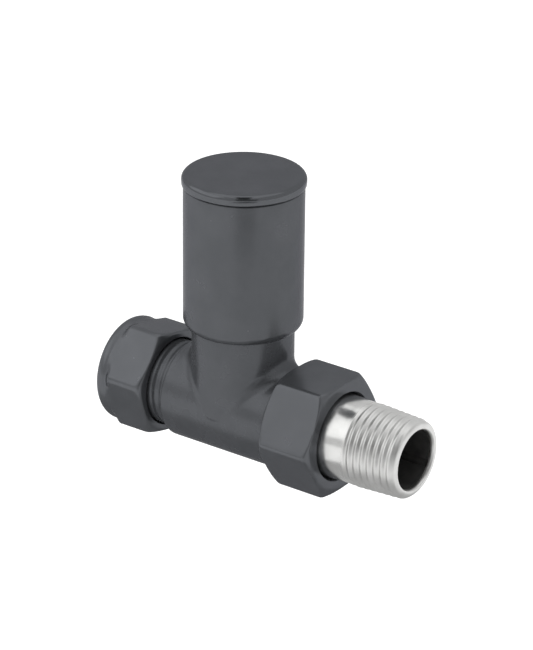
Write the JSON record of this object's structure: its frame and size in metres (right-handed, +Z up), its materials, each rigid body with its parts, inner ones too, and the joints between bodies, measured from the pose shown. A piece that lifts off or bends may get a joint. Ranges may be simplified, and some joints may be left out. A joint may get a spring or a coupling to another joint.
{
  "type": "lockshield valve",
  "caption": "Straight radiator lockshield valve with a push-on cylindrical cap, compression inlet, union nut and threaded radiator tail.",
  "frame": {"origin": "on the pipe axis, in the mouth of the pipe socket's straight wall", "axes": "+X along the pipe axis towards the radiator tail, +Z up along the spindle axis towards the cap, +Y to the far side"},
  "size_m": [0.0851, 0.0312, 0.0727],
  "materials": {
    "anthracite": "satin anthracite coating",
    "bright_plate": "bright plated",
    "brass": "turned",
    "rubber": "matt",
    "black_plastic": "moulded",
    "white_plastic": "smooth"
  },
  "bodies": {
    "body": {"valve_body": "anthracite", "bonnet": "brass", "bonnet_o_ring": "rubber", "gland_washer": "brass", "gland_packing": "white_plastic", "gland_nut": "brass"},
    "spindle": {"spindle": "brass", "spindle_o_ring": "rubber", "slip_washer": "white_plastic"},
    "plug": {"plug": "brass", "seat_washer": "rubber", "washer_screw": "brass"},
    "olive": {"olive": "brass"},
    "compression_nut": {"compression_nut": "anthracite"},
    "tail": {"tail": "bright_plate", "tail_o_ring": "rubber"},
    "union_nut": {"union_nut": "anthracite"},
    "cap_liner": {"cap_liner": "black_plastic"},
    "cap_sleeve": {"cap_sleeve": "anthracite"},
    "cap_top": {"cap_top_disc": "anthracite", "disc_o_ring": "rubber"}
  },
  "joints": [
    {"name": "spindle_turn", "type": "hinge", "parent": "body", "child": "spindle", "pos_m": [0.027, 0, 0.03], "axis": [0, 0, 1], "range_deg": [0, 1260]},
    {"name": "plug_lift", "type": "slide", "parent": "body", "child": "plug", "axis": [0, 0, 1], "range_m": [0, 0.0035]},
    {"name": "olive_slide", "type": "slide", "parent": "body", "child": "olive", "axis": [-1, 0, 0], "range_m": [0, 0.00908]},
    {"name": "compression_nut_turn", "type": "hinge", "parent": "olive", "child": "compression_nut", "pos_m": [0, 0, 0], "axis": [-1, 0, 0], "range_deg": [0, 1800]},
    {"name": "tail_slide", "type": "slide", "parent": "body", "child": "tail", "axis": [1, 0, 0], "range_m": [0, 0.00954]},
    {"name": "union_nut_turn", "type": "hinge", "parent": "tail", "child": "union_nut", "pos_m": [0.05, 0, 0], "axis": [1, 0, 0], "range_deg": [0, 1890]},
    {"name": "cap_pull", "type": "slide", "parent": "body", "child": "cap_liner", "axis": [0, 0, 1], "range_m": [0, 0.045]},
    {"name": "cap_spin", "type": "hinge", "parent": "cap_liner", "child": "cap_sleeve", "pos_m": [0.027, 0, 0.04], "axis": [0, 0, 1], "continuous": true},
    {"name": "disc_lift", "type": "slide", "parent": "cap_sleeve", "child": "cap_top", "axis": [0, 0, 1], "range_m": [0, 0.012]}
  ],
  "couplings": [
    {"joint": "spindle_turn", "follows": "plug_lift", "rad_per_m": 6283.1},
    {"joint": "olive_slide", "follows": "compression_nut_turn", "m_per_rad": 0.00028871},
    {"joint": "tail_slide", "follows": "union_nut_turn", "m_per_rad": 0.00028871}
  ]
}
